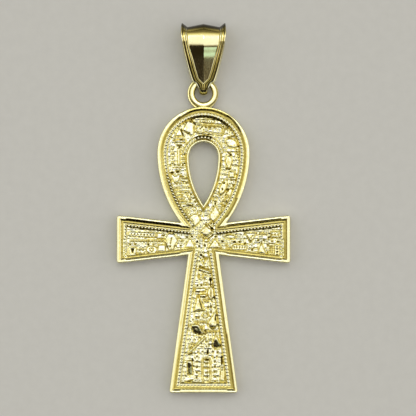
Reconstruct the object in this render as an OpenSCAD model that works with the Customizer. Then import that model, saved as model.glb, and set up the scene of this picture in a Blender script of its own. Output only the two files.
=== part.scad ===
// Gold ankh pendant with a raised border, bead rows and raised signs, its fixed top ring,
// and the folded bail that a neck chain runs through. It lies on its flat back.

/* [Ankh outline] */
// From the crossing to the end of one arm
arm_reach = 10.6; // [9:0.1:12]
// Height of an arm at its end
arm_end_h = 5.9; // [5.2:0.1:6.6]
// Height that the arms taper to at the crossing
arm_mid_h = 3.45; // [3.3:0.05:4]
// From the crossing down to the foot of the shaft
shaft_reach = 18.75; // [17:0.25:22]
// Width of the shaft at its foot
shaft_foot_w = 8.4; // [7.4:0.1:9.4]
// Width that the shaft tapers to at the crossing
shaft_mid_w = 3.3; // [3.1:0.1:4]
// From the crossing up to the middle of the loop's round top
loop_up = 10.55; // [9.8:0.05:12]
// Radius of the loop's round top
loop_r = 5.65; // [5.4:0.05:6.2]
// Radius of the loop's long side curves
loop_side_r = 14.2; // [13.4:0.2:15]
// From the crossing up to the middle of the opening's round top
hole_up = 10.1; // [9.9:0.1:10.8]
// Radius of the opening's round top
hole_r = 1.78; // [1.5:0.02:2]
// Radius of the opening's side curves
hole_side_r = 10.7; // [10:0.1:12]

/* [Ankh surface] */
// Thickness at the top of the rim
rim_t = 2; // [1.9:0.05:2.4]
// Thickness at the sunk field
field_t = 1.45; // [1.3:0.05:1.6]
// Width of the rim's flat top
rim_w = 0.4; // [0.35:0.05:0.5]
// Width of the rim around the opening
hole_rim_w = 0.3; // [0.25:0.05:0.4]
// From the outer edge of the loop and the shaft to the middle of the bead row
bead_in = 0.98; // [0.85:0.01:1.05]
// From an arm's outer edge to the middle of the bead row
arm_bead_in = 1.1; // [1:0.01:1.15]
// From an arm's lower edge to the lower end of its bead row
arm_low_in = 0.8; // [0.7:0.05:1]
// From the opening's edge to the middle of its bead row
hole_bead_in = 0.62; // [0.55:0.01:0.7]
// Diameter of one bead
bead_d = 0.32; // [0.26:0.02:0.36]
// Spacing of the beads along a row
bead_pitch = 0.41; // [0.4:0.01:0.6]
// Length that the sizes of the signs are shares of
sign_s = 1.5; // [1.3:0.05:1.6]
// Height of the signs above the field
sign_h = 0.32; // [0.2:0.02:0.4]

/* [Top ring] */
// Radius of the ring's bore
ring_bore_r = 1.07; // [1:0.01:1.3]
// Width of the ring's wire, seen from the front
ring_w = 0.66; // [0.5:0.02:0.8]
// Thickness of the ring along its bore
ring_t = 1.2; // [0.9:0.05:1.3]
// Width of the ledge around the ring's wire
ring_ledge_w = 0.25; // [0.1:0.05:0.3]
// Metal between the ring's bore and the top of the loop
ring_foot = 0.55; // [0.45:0.05:0.6]
// Bevel on the ring's edges
ring_bevel = 0.12; // [0.05:0.01:0.15]

/* [Bail] */
// Wall of the bail where it wraps the ring
bail_t = 0.45; // [0.4:0.05:0.6]
// Wall of the bail at its top bend
bail_top_t = 0.65; // [0.5:0.05:0.8]
// Radius of the bail's top bend, outside
bail_top_r = 1.9; // [1.8:0.05:2.4]
// From the middle of the bail's low bend to the middle of its top bend
bail_run = 5.8; // [5:0.1:7]
// Widest part of the bail
bail_w = 5.5; // [5:0.1:6]
// Width of the nub that passes through the ring
nub_w = 1; // [0.8:0.05:1.2]
// Width of the bail's raised border
bail_border_w = 0.7; // [0.5:0.05:0.8]
// Width of the raised rib down the bail's middle
bail_rib_w = 0.5; // [0.3:0.05:0.7]
// Depth of the bail's sunk panels
bail_sink = 0.2; // [0.1:0.02:0.24]
// Gap between the bail and the ring's faces
ring_gap = 0.1; // [0.08:0.01:0.2]

/* [Hidden] */
round_fn = 96;
bead_fn = 16;
// How far a raised form reaches down into the metal below it
sunk = 0.15;
// How far a cutting form reaches past what it cuts
past = 1;

// Slope of an arm's edges and of the shaft's edges, and the length of a step along each slope
arm_slope = (arm_end_h - arm_mid_h) / 2 / arm_reach;
arm_stretch = sqrt(1 + pow(arm_slope, 2));
shaft_slope = (shaft_foot_w - shaft_mid_w) / 2 / shaft_reach;
shaft_stretch = sqrt(1 + pow(shaft_slope, 2));

// Heights along the middle line, from the crossing
ring_up = loop_up + loop_r + ring_foot + ring_bore_r;
bail_low_r = bail_t + ring_gap + ring_t / 2;
bail_low_up = ring_up + bail_low_r - bail_t / 2;
// Tilt of the line between the bail's two bends, with the back leaf flat below it
bail_tilt = asin((bail_top_r - bail_low_r) / bail_run);
top_reach = bail_low_up + bail_run * cos(bail_tilt) + bail_top_r;
// The origin is in the middle of the whole length
crossing_y = (shaft_reach - top_reach) / 2;
// The ring's middle plane stands where the bail's back leaf passes under it
ring_z = bail_low_r;
bail_len = top_reach - (bail_low_up - bail_low_r);

// Half outline of the bail from its top: share of its length, share of its half width
BAIL_ROWS = [[0, 0.97], [0.16, 1], [0.42, 0.87], [0.66, 0.67], [0.82, 0.5], [0.82, 0.38]];
// Share of the bail's length where its border reaches the nub, and where the inner panel ends
BAIL_TIP = 0.93;
BAIL_PANEL_TIP = 0.84;

// Signs on the loop: kind, angle around the opening, share from opening to edge,
// width and height as shares of sign_s, turn
LOOP_SIGNS = [
    ["fan", 114, 0.46, 1.1, 1.15, 0],
    ["peak", 138, 0.55, 0.75, 0.8, 0],
    ["bar", 87, 0.57, 1.1, 0.3, 0],
    ["bar", 69, 0.31, 1.2, 0.22, -8],
    ["block", 57, 0.56, 0.85, 0.9, -6],
    ["drop", 26, 0.45, 0.85, 1, -70],
    ["bar", 147, 0.37, 0.85, 0.16, 0],
    ["bar", 177, 0.33, 0.3, 1.35, 0],
    ["cup", -143, 0.52, 0.9, 0.75, 0],
    ["bar", -132, 0.24, 0.4, 0.16, 0],
    ["bar", -124, 0.25, 0.4, 0.16, 0],
    ["bar", -125, 0.6, 0.25, 0.8, -10],
    ["bar", -117, 0.48, 0.25, 0.85, -10],
    ["vase", -12, 0.37, 0.45, 1.05, 0],
    ["block", -30, 0.55, 0.55, 0.7, 0],
    ["bar", -58, 0.36, 0.32, 1.5, -24],
    ["bar", -50, 0.6, 0.32, 1.5, -24],
    ["leaf", -98, 0.62, 0.7, 1.25, 0],
    ["leaf", -79, 0.52, 0.75, 1.2, 0],
];
// Signs on the arms: kind, share of the reach, share of the half height there, width, height, turn
ARM_SIGNS = [
    ["bar", -0.7, 0.21, 2.35, 0.55, 0],
    ["block", -0.82, -0.5, 0.7, 0.7, 0],
    ["peak", -0.72, -0.48, 0.4, 0.45, 180],
    ["arch", -0.59, -0.48, 0.9, 0.68, 0],
    ["vase", -0.37, -0.17, 0.9, 1.25, 0],
    ["peak", -0.16, -0.28, 0.9, 0.9, 0],
    ["gem", 0.02, 0.52, 0.95, 0.95, 0],
    ["peak", 0.14, -0.3, 1, 0.9, 0],
    ["leaf", 0.29, 0.08, 0.4, 1.4, 90],
    ["bar", 0.41, -0.44, 1.2, 0.45, 0],
    ["fan", 0.54, 0.06, 1.05, 0.8, 0],
    ["peak", 0.66, -0.42, 0.75, 0.95, 0],
    ["block", 0.82, 0.24, 0.8, 0.65, 0],
    ["bar", 0.84, -0.46, 0.42, 0.95, 0],
];
// Signs on the shaft: kind, share of the reach, share of the half width there, width, height, turn
SHAFT_SIGNS = [
    ["bar", 0.12, -0.05, 0.6, 0.22, -40],
    ["bar", 0.19, -0.05, 0.95, 0.25, -24],
    ["arch", 0.243, -0.12, 0.6, 0.55, 0],
    ["drop", 0.26, 0.36, 0.4, 0.65, 180],
    ["block", 0.33, -0.2, 0.85, 0.34, 0],
    ["leaf", 0.345, 0.33, 0.55, 1.2, 0],
    ["gem", 0.405, 0.02, 0.55, 0.28, 0],
    ["leaf", 0.455, -0.3, 0.6, 1.25, -6],
    ["arch", 0.495, 0.04, 0.5, 0.55, 0],
    ["leaf", 0.53, 0.4, 0.7, 1.3, -14],
    ["bar", 0.545, -0.2, 0.75, 0.16, 0],
    ["vase", 0.6, -0.25, 0.95, 0.9, 0],
    ["drop", 0.665, 0.35, 0.7, 1.1, 20],
    ["cup", 0.685, -0.25, 0.8, 0.6, 0],
    ["bar", 0.74, 0.02, 1.5, 0.2, 0],
    ["bar", 0.84, -0.46, 0.45, 1.35, 0],
    ["arch", 0.85, 0.05, 0.8, 1.9, 0],
    ["bar", 0.845, 0.54, 0.45, 1.8, 0],
];

// Distance from the origin at angle a to the far side of a circle
function reach(a, cx, cy, r) =
    cx * cos(a) + cy * sin(a) + sqrt(pow(r, 2) - pow(cx * sin(a) - cy * cos(a), 2));
// The same to an outline with a round top of radius r and side curves of radius side
function drop_reach(a, up, r, side) =
    let (top = reach(a, 0, up, r), lean = (cos(a) < 0 ? 1 : -1) * (side - r))
    top * sin(a) >= up ? top : reach(a, lean, up, side);
function arm_half(x) = arm_mid_h / 2 + arm_slope * abs(x);
function shaft_half(y) = shaft_mid_w / 2 + shaft_slope * abs(y);

// Where the right side curve, moved inwards by side_in, meets the arm's top edge moved by arm_in
function loop_notch(side_in, arm_in) =
    let (cx = loop_r - loop_side_r, a = arm_mid_h / 2 - arm_in * arm_stretch - loop_up,
         b = arm_slope * a - cx, c = pow(cx, 2) + pow(a, 2) - pow(loop_side_r - side_in, 2),
         x = (-b + sqrt(pow(b, 2) - pow(arm_stretch, 2) * c)) / pow(arm_stretch, 2))
    [x, arm_half(x) - arm_in * arm_stretch];
// Where the arm's lower edge meets the shaft's right edge, both moved in
function shaft_notch(side_in, arm_in) =
    let (a = arm_mid_h / 2 - arm_in * arm_stretch, b = shaft_mid_w / 2 - side_in * shaft_stretch,
         x = (b + shaft_slope * a) / (1 - shaft_slope * arm_slope))
    [x, -a - arm_slope * x];
function arm_corner(in) = [arm_reach - in, arm_half(arm_reach - in) - in * arm_stretch];
function foot_corner(in) = [shaft_half(shaft_reach - in) - in * shaft_stretch, in - shaft_reach];

// Even places along a straight stretch, from its start and short of its end
function along(p, q) =
    let (n = max(1, round(norm(q - p) / bead_pitch)))
    [for (i = [0 : n - 1]) p + (q - p) * i / n];
// Even places from a corner to the middle line, half a space short of it
function to_middle(p) =
    let (n = max(1, floor(p.x / bead_pitch)))
    [for (i = [0 : n]) [p.x * (1 - i / (n + 0.5)), p.y]];
// Even places down half a drop outline, half a space past its top and short of angle low
function down_side(up, r, side, low) =
    let (top_len = r * PI / 2, side_len = side * low * PI / 180,
         n = max(2, round((top_len + side_len) / bead_pitch - 0.5)))
    [for (i = [0 : n - 1])
        let (s = (top_len + side_len) * (i + 0.5) / (n + 0.5),
             a = 90 - s / r * 180 / PI, b = (s - top_len) / side * 180 / PI)
        s < top_len ? [r * cos(a), up + r * sin(a)]
                    : [side * cos(b) - (side - r), up - side * sin(b)]];

// Right half of the bead rows inside the outer edge, and of the row around the opening.
// The arms' lower edges have none.
function outer_beads() =
    let (notch = loop_notch(bead_in, arm_bead_in), inner = shaft_notch(bead_in, arm_low_in),
         end = arm_corner(arm_bead_in), low_end = arm_low_in - arm_half(end.x),
         low = asin((loop_up - notch.y) / (loop_side_r - bead_in)))
    concat(down_side(loop_up, loop_r - bead_in, loop_side_r - bead_in, low),
           along(notch, end), along(end, [end.x, low_end]),
           along(inner, foot_corner(bead_in)), to_middle(foot_corner(bead_in)));
function hole_beads() =
    down_side(hole_up, hole_r + hole_bead_in, hole_side_r + hole_bead_in,
              acos((hole_side_r - hole_r) / (hole_side_r + hole_bead_in)));
function hole_tip(out) =
    hole_up - sqrt(pow(hole_side_r + out, 2) - pow(hole_side_r - hole_r, 2));

module drop_shape(up, r, side) {
    translate([0, up]) {
        intersection() {
            circle(r, $fn = round_fn);
            translate([-r, 0]) square([2 * r, r]);
        }
        intersection() {
            translate([side - r, 0]) circle(side, $fn = round_fn * 3);
            translate([r - side, 0]) circle(side, $fn = round_fn * 3);
            translate([-r, -2 * side]) square([2 * r, 2 * side]);
        }
    }
}

module arms_shape(in) {
    x = arm_reach - in;
    end = arm_half(x) - in * arm_stretch;
    mid = arm_mid_h / 2 - in * arm_stretch;
    polygon([[-x, -end], [0, -mid], [x, -end], [x, end], [0, mid], [-x, end]]);
}

module shaft_shape(in) {
    foot = foot_corner(in);
    mid = shaft_mid_w / 2 - in * shaft_stretch;
    polygon([[-foot.x, foot.y], [foot.x, foot.y], [mid, 0], [-mid, 0]]);
}

// Front outline moved inwards by in, without the opening
module front_shape(in) {
    drop_shape(loop_up, loop_r - in, loop_side_r - in);
    arms_shape(in);
    shaft_shape(in);
}

// Opening moved outwards by out
module hole_shape(out) {
    drop_shape(hole_up, hole_r + out, hole_side_r + out);
}

module plate() {
    difference() {
        linear_extrude(rim_t) front_shape(0);
        translate([0, 0, field_t]) linear_extrude(rim_t) difference() {
            front_shape(rim_w);
            hole_shape(hole_rim_w);
        }
        translate([0, 0, -past]) linear_extrude(rim_t + 2 * past) hole_shape(0);
    }
}

module bead() {
    translate([0, 0, field_t]) sphere(d = bead_d, $fn = bead_fn);
}

module beads() {
    for (p = concat(outer_beads(), hole_beads()), side = [-1, 1])
        translate([side * p.x, p.y]) bead();
    translate([0, hole_tip(hole_bead_in)]) bead();
}

// Flat outline of one sign, w wide and h high around its middle
module sign_shape(kind, w, h) {
    if (kind == "bar")
        square([w, h], center = true);
    if (kind == "peak")
        polygon([[-w / 2, -h / 2], [w / 2, -h / 2], [0, h / 2]]);
    if (kind == "fan")
        polygon([[-w * 0.2, -h / 2], [w * 0.2, -h / 2], [w / 2, h / 2], [-w / 2, h / 2]]);
    if (kind == "gem")
        polygon([[-w / 2, 0], [0, -h / 2], [w / 2, 0], [0, h / 2]]);
    if (kind == "leaf") {
        r = (pow(w / 2, 2) + pow(h / 2, 2)) / w;
        intersection() {
            translate([r - w / 2, 0]) circle(r, $fn = round_fn);
            translate([w / 2 - r, 0]) circle(r, $fn = round_fn);
        }
    }
    if (kind == "drop") {
        translate([0, (w - h) / 2]) circle(w / 2, $fn = round_fn);
        polygon([[-w * 0.45, (w - h) / 2 + w * 0.2], [w * 0.45, (w - h) / 2 + w * 0.2], [0, h / 2]]);
    }
    if (kind == "vase")
        polygon([[-w * 0.2, -h / 2], [w * 0.2, -h / 2], [w / 2, 0], [w * 0.4, h * 0.3],
                 [w * 0.2, h / 2], [-w * 0.2, h / 2], [-w * 0.4, h * 0.3], [-w / 2, 0]]);
    if (kind == "block")
        difference() {
            square([w, h], center = true);
            square([w * 0.45, h * 0.35], center = true);
        }
    if (kind == "arch")
        difference() {
            square([w, h], center = true);
            translate([0, -h * 0.15]) square([w * 0.4, h * 0.72], center = true);
        }
    if (kind == "cup")
        polygon([[-w * 0.3, -h / 2], [w * 0.3, -h / 2], [w / 2, h / 2], [w * 0.25, h / 2],
                 [w * 0.15, -h * 0.1], [-w * 0.15, -h * 0.1], [-w * 0.25, h / 2], [-w / 2, h / 2]]);
}

module sign_at(row, place) {
    translate([place.x, place.y, field_t - sunk]) rotate(row[5])
        linear_extrude(sunk + sign_h) sign_shape(row[0], row[3] * sign_s, row[4] * sign_s);
}

module signs() {
    for (row = LOOP_SIGNS)
        let (near = drop_reach(row[1], 0, hole_r, hole_side_r),
             far = drop_reach(row[1], loop_up - hole_up, loop_r, loop_side_r),
             r = near + row[2] * (far - near))
        sign_at(row, [r * cos(row[1]), hole_up + r * sin(row[1])]);
    for (row = ARM_SIGNS)
        sign_at(row, [row[1] * arm_reach, row[2] * arm_half(row[1] * arm_reach)]);
    for (row = SHAFT_SIGNS)
        sign_at(row, [row[2] * shaft_half(row[1] * shaft_reach), -row[1] * shaft_reach]);
}

// Wire with a flat front and a lower ledge outside it, turned round the bore's middle
module top_ring() {
    inside = ring_bore_r;
    outside = ring_bore_r + ring_w;
    half = ring_t / 2;
    translate([0, ring_up, ring_z]) rotate_extrude($fn = round_fn)
        polygon([[inside, ring_bevel - half], [inside + ring_bevel, -half],
                 [outside + ring_ledge_w - ring_bevel, -half],
                 [outside + ring_ledge_w, ring_bevel - half], [outside + ring_ledge_w, 0],
                 [outside, 0], [outside, half - ring_bevel], [outside - ring_bevel, half],
                 [inside + ring_bevel, half], [inside, half - ring_bevel]]);
}

module ankh() {
    color("gold") translate([0, crossing_y]) {
        plate();
        beads();
        signs();
        top_ring();
    }
}

// Solid form of the bail: two round bends and the straight leaves between them, w wide.
// low_in and top_in make the two bends smaller.
module bail_form(low_in, top_in, w) {
    low = bail_low_r - low_in;
    top = bail_top_r - top_in;
    lean = asin((top - low) / bail_run);
    translate([0, bail_low_up, bail_low_r]) rotate([bail_tilt, 0, 0]) {
        rotate([0, 90, 0]) cylinder(h = w, r = low, center = true, $fn = round_fn);
        translate([0, bail_run, 0]) rotate([0, 90, 0])
            cylinder(h = w, r = top, center = true, $fn = round_fn);
        rotate([90, 0, 90]) linear_extrude(w, center = true)
            polygon([[-low * sin(lean), low * cos(lean)],
                     [bail_run - top * sin(lean), top * cos(lean)],
                     [bail_run - top * sin(lean), -top * cos(lean)],
                     [-low * sin(lean), -low * cos(lean)]]);
    }
}

// Front outline of the bail, moved inwards by in, with a point at share tip and the nub below it
function bail_half(row, in) = [bail_w / 2 * row[1] - in, top_reach - row[0] * bail_len];
module bail_panel(in, tip, nub) {
    rows = [for (row = BAIL_ROWS) bail_half(row, in)];
    right = concat([[rows[0].x, top_reach + past]], rows, [[nub / 2, top_reach - tip * bail_len]]);
    foot = nub > 0 ? [[nub / 2, bail_low_up - bail_low_r - past]] : [];
    half = concat(right, foot);
    polygon(concat(half, [for (i = [len(half) - 1 : -1 : 0]) [-half[i].x, half[i].y]]));
}

module bail() {
    tall = 2 * bail_top_r + past;
    color("gold") translate([0, crossing_y]) difference() {
        intersection() {
            bail_form(0, 0, bail_w + past);
            translate([0, 0, -past]) linear_extrude(tall + past) bail_panel(0, BAIL_TIP, nub_w);
        }
        bail_form(bail_t, bail_top_t, bail_w + 2 * past);
        for (side = [0, 1]) mirror([side, 0, 0]) difference() {
            translate([0, 0, bail_top_r - bail_top_t]) linear_extrude(tall) intersection() {
                bail_panel(bail_border_w, BAIL_PANEL_TIP, 0);
                translate([bail_rib_w / 2, bail_low_up]) square([bail_w, bail_len]);
            }
            bail_form(bail_sink, bail_sink, bail_w + 2 * past);
        }
    }
}

ankh();
bail();
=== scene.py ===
# %% [markdown]
# # A cast gold ankh pendant
# One gold casting with a raised border, rows of tiny beads, raised signs and a fixed ring, and a folded bail
# through that ring. The solid part comes first, because every surface below stands where it stands.

import bpy
import numpy as np
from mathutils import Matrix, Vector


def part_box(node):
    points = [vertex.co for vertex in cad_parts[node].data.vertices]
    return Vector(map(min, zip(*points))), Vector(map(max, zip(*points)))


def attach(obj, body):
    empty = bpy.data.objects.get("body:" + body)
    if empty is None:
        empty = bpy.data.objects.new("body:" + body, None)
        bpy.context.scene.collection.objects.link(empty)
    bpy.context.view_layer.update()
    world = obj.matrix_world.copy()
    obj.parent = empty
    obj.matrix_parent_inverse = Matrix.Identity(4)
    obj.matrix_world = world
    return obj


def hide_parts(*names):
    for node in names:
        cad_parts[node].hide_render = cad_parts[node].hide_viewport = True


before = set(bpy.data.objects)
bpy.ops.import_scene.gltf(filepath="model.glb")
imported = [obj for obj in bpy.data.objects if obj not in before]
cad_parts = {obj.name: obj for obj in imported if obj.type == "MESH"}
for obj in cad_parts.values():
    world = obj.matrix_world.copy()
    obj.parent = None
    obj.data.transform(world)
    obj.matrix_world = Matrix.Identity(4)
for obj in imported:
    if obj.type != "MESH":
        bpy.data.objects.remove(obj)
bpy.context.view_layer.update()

MM = 0.001
ankh_low, ankh_high = [np.array(corner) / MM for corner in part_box("ankh")]
bail_high = np.array(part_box("bail")[1]) / MM

# %% [markdown]
# ## Sizes
# Lengths are millimetres from the crossing, where the arms and the shaft meet. X runs along the arms and Y
# up to the loop.

# %% Sizes of the casting, the ring and the bail
ARM_REACH, ARM_END_H, ARM_MID_H = 10.6, 5.9, 3.45
SHAFT_REACH, SHAFT_FOOT_W, SHAFT_MID_W = 18.75, 8.4, 3.3
LOOP_UP, LOOP_R, LOOP_SIDE_R = 10.55, 5.65, 14.2
HOLE_UP, HOLE_R, HOLE_SIDE_R = 10.1, 1.78, 10.7
RIM_T, FIELD_T, SHELF_T, CORNER_R = 2.0, 1.45, 1.7, 0.4
BEAD_IN, ARM_BEAD_IN, ARM_LOW_IN, HOLE_BEAD_IN = 0.98, 1.1, 0.8, 0.56
BEAD_R, BEAD_PITCH, BEAD_RISE = 0.165, 0.41, 0.17
RING_BORE_R, RING_W, RING_T, RING_LEDGE_W = 1.07, 0.66, 1.2, 0.25
BAIL_T, BAIL_TOP_T, BAIL_TOP_R, BAIL_RUN, BAIL_W = 0.45, 0.65, 1.9, 5.8, 5.5
CROSSING_Y = ankh_low[1] + SHAFT_REACH
RING_UP = ankh_high[1] - CROSSING_Y - RING_BORE_R - RING_W - RING_LEDGE_W
ARM_SLOPE = (ARM_END_H - ARM_MID_H) / 2 / ARM_REACH
SHAFT_SLOPE = (SHAFT_FOOT_W - SHAFT_MID_W) / 2 / SHAFT_REACH
print("crossing at y =", round(CROSSING_Y, 3), "and ring at", round(RING_UP, 3), "above it")

# %% [markdown]
# ## Signs
# Raised figures fill the sunk field over the loop, the arms and the shaft. Each is a closed outline with a
# domed top, or a hollow where its rise is negative. They follow a traditional ankh, and spell nothing.
# Lengths are hundredths of a millimetre, and turns are degrees.

# %% Tables of the signs and of the rows of beads and dashes
HUNDREDTH = 0.01


def table(text, end="\n"):
    """Rows of a table, as lists of numbers, with the kind of sign first where one is written."""
    rows = [row.split() for row in text.strip().split(end)]
    return [[word if word.isalpha() else float(word) for word in row] for row in rows]


def graph(text):
    """Stops of a graph, from a table in hundredths whose rows end with commas."""
    return HUNDREDTH * np.array(table(text, ","))


def spread(x0, y0, x1, y1, count, w, h, rise=26):
    """Bars at even steps from a row's first place to its last."""
    places = np.linspace((x0, y0), (x1, y1), int(count))
    return [("bar", *place, w, h, rise) for place in places]


# kind, unless it is a dot, x, y, width, height, and rise, turn and lean where they aren't -28, 0 and 0
SIGNS = table("""
gem -163 1360 210 210 36 15
bar -118 1426 16 110 -30 39
bar -191 1299 55 15 -15 -15
peak -298 1310 110 105 32
bar -262 1305 12 80 -26 18
bar -304 1235 122 26 20
bar -283 1198 134 34 26
bar -295 1150 72 17 -30
-295 1132 30 24 -30
-366 1205 30 15 -22
-270 1215 30 15 -22
bar 46 1439 180 50 26
-20 1364 24 20 -26
bar 28 1366 29 18 -30
bar 77 1366 29 18 -30
bar 134 1366 29 18 -30
arch 72 1342 125 370 28 84
leaf 342 1172 110 175 36 62
bar 342 1255 100 14 -28 14
bar -302 1005 34 210 30
bar -310 875 140 14 -20
-385 815 45 27 -32
-315 825 50 27 -32
cup -338 737 130 112 34
bar -185 520 20 130 22 28
bar -315 686 75 13 -24
bar -170 415 94 20 -28 -10
vase 309 942 90 160 36
bar 320 1045 66 16 -30 -41
bar 300 860 62 14 -28 -6
bar 418 810 12 130 -22 -5
block 345 790 68 78 28
bar 360 727 70 15 -26
leaf 242 635 85 230 36 -22
250 690 22 22 -20
230 610 22 22 -20
leaf 305 540 75 200 36 -24
366 655 35 24
bar 260 413 60 15 -26 -10
300 600 22 24 -25
ring -204 348 80 85 26
-204 348 29 32 24
ring -110 374 51 51 24
ring -54 318 51 51 24
drop -110 220 135 180 38 172
gem -194 107 90 71 34 0 20
drop 145 315 140 210 40
146 437 24 22
ring 143 489 54 54 24
block 245 350 67 105 30 -14
bar 155 195 78 18
ring 194 105 76 76 24
gem 33 91 180 150 42 0 15
bar 98 140 75 15 -30 -42
bar 86 30 75 15 -28 38
bar -20 30 70 13 -24 -35
32 177 27 22 -30
100 135 27 22 -30
peak -165 -45 150 120 36
peak 140 -50 180 120 38
-204 22 27 22
-143 37 27 22
-277 -76 29 22
-79 -33 29 24 -30
16 -79 29 24 -30
-50 -85 24 20
146 32 27 22
233 -24 27 24
32 -12 61 49 28
bar -746 57 341 61 30 -3
block -525 41 90 70 28
bar -493 48 42 14
-899 -66 27 20
-835 -60 29 20
-677 -63 27 17
-612 -60 29 17
block -867 -146 94 104 28
peak -867 -141 56 61 -20 180
zig -762 -121 85 33 26
gem -773 -180 85 46 30
eye -635 -127 137 93 36
block -511 -109 94 84 32
vase -397 -35 160 210 38
bar -398 -20 13 80 -22 -12
-408 -85 24 24 -22
bar -520 -166 50 14 -24 6
leaf 327 29 56 159 34 90
377 -35 34 27 -30
440 -33 30 24
bar 438 -101 187 73 34
peak 575 20 160 120 36 180
bar 592 30 12 50 -20 -32
peak 709 -106 117 144 38
bar 826 -83 41 15 24
bar 826 -109 41 15 24
bar 826 -134 41 15 24
bar 826 -160 41 15 24
block 872 56 107 80 34
block 898 -138 66 150 34
667 -12 27 22
737 -12 24 22
799 20 24 27
840 -24 29 20
910 -32 29 20
788 -71 20 29
784 -159 20 27
509 -49 24 17
596 -129 24 32
828 -195 37 18
bar -2 -215 90 14 -28 -38
-30 -190 34 27 -30
36 -240 34 30 -30
peak -1 -276 68 61 30 180
bar 10 -354 134 18 -28 -21
bar 13 -385 159 32 30 -18
arch -33 -451 56 78 28
28 -434 24 18 -25
95 -420 29 17 -25
15 -488 32 17 -25
drop 85 -498 34 49 -28 180
bar 87 -562 13 100 -26
-26 -561 22 24
-74 -568 20 24
24 -543 37 37 26
block -38 -621 129 51 32
bar -7 -687 87 34 30
leaf 91 -659 93 165 38
bar 91 -659 12 110 -14
eye 40 -750 61 39 28
peak -62 -780 140 195 36 6
bar -33 -800 13 130 -30 17
104 -763 27 17 -26
54 -830 24 15 -26
94 -827 27 17 -26
150 -834 24 27 -30
92 -886 27 24 -30
drop 125 -975 115 230 38 -15 8
bar 148 -960 16 66 -28 -4
arch 22 -930 85 66 28
-127 -983 22 20 -30
bar -76 -963 50 14 -26 12
-80 -1020 24 17 -26
-5 -1010 20 17 -26
30 -1015 20 17 -26
bar 117 -1093 60 15 -24 14
leaf -72 -1105 115 195 30 52 34
bar -2 -1110 16 120 30 28
22 -1125 24 17 -26
140 -1122 37 15 -24
-45 -1202 27 22 -30
drop 155 -1245 102 190 34 6 36
36 -1252 32 17 -26
-25 -1313 24 17 -26
36 -1310 27 17 -26
67 -1303 20 15 -26
-142 -1313 62 70 26
-142 -1320 24 24 -16
bar -84 -1295 290 30 34 43
bar -160 -1400 62 15 -28 24
-70 -1383 24 20 -26
-13 -1378 24 20 -26
bar 48 -1380 22 48
117 -1376 27 20 -26
172 -1383 24 20 -26
232 -1385 24 20 -26
105 -1435 27 17 -26
162 -1435 24 17 -26
arch 36 -1595 115 310 30
42 -1474 55 24
bar 35 -1520 44 13 -24
bar 33 -1577 50 13 -24
bar 35 -1633 44 13 -24
bar 33 -1690 40 13 -24
block -165 -1572 66 180 30 3 30
-133 -1480 30 27 -30
block 232 -1650 60 170 30 -3
bar 224 -1485 18 95 -30
226 -1593 17 24
bar -177 -1736 105 16 -28 14
bar 40 -1752 44 14 -24
bar 214 -1755 54 16 -26""")
# from x, y to x, y, how many, width, height, and rise where it isn't 26
ROWS = table("""
-379 1110 -377 939 4 34 32
-249 1093 -249 937 4 37 32
-221 749 -211 582 4 80 26
309 1427 389 1305 4 32 32
413 1085 443 976 4 37 29
445 915 430 763 4 24 29
-887 -17 -484 -22 11 28 29
-9 1390 174 1383 6 23 17
155 -537 170 -720 6 34 18
-87 -1012 35 -1012 4 27 27
45 -1130 157 -1130 4 23 24
-79 -1434 -83 -1690 5 24 24 -30
138 -1496 142 -1740 5 24 24 -30
279 -1476 309 -1720 6 32 27
-211 268 -167 178 3 27 27
-252 476 -167 459 3 23 23
279 517 218 434 3 24 24
523 -166 662 -176 5 23 21
316 -159 479 -166 6 22 20
279 -66 313 -129 3 24 24
694 68 772 66 3 24 27
-448 -163 -265 -134 6 23 21
-306 20 -257 -20 2 27 27
-62 24 -33 37 2 24 24
52 180 89 200 2 24 24
375 615 332 495 4 20 24 -26
-330 625 -255 450 5 85 24 30
-150 545 -75 420 4 28 16 -26
-405 907 -255 907 4 22 18 -26
-880 62 -610 50 8 16 24 -16
375 -101 505 -101 5 14 24 -16
835 56 910 56 3 14 26 -16
898 -90 898 -190 4 24 14 -16
-10 1439 100 1439 5 13 20 -14
250 1395 320 1320 4 12 50 -20
-270 770 -195 750 2 50 13 -22
-255 710 -190 690 2 50 13 -22""")
ALL_SIGNS = [row if isinstance(row[0], str) else ["dot", *row] for row in SIGNS]
ALL_SIGNS += [sign for row in ROWS for sign in spread(*row)]
print(len(SIGNS), "signs and", len(ROWS), "rows:", len(ALL_SIGNS), "forms")

# %% [markdown]
# ## How far a point lies from an edge
# The border follows the outline at an even distance, so the relief is a height over that distance: to a
# line, or to an arc for the loop and its opening. Where forms overlap, the largest counts.

# %% Distances from the outline and from the opening
def step(low, high, t):
    """Smooth step from 0 at low to 1 at high: 3 t squared less 2 t cubed."""
    t = np.clip((t - low) / (high - low), 0, 1)
    return t * t * (3 - 2 * t)


def mix(a, b, t):
    """a where t is 0 and b where it is 1: a times 1 - t plus b times t."""
    return a * (1 - t) + b * t


def band(t, *places):
    """1 between the second and third of four places, falling to 0 at the first and last."""
    return np.interp(t, places, [0, 1, 1, 0])


def drop_depth(x, y, up, r, side):
    """Distance inwards from a drop outline: the radius less the distance to the middle of its round top, or,
    below height up, of its long side curve."""
    top = r - np.hypot(x, y - up)
    flank = side - np.hypot(np.abs(x) + side - r, y - up)
    return np.where(y > up, top, flank)


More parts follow.
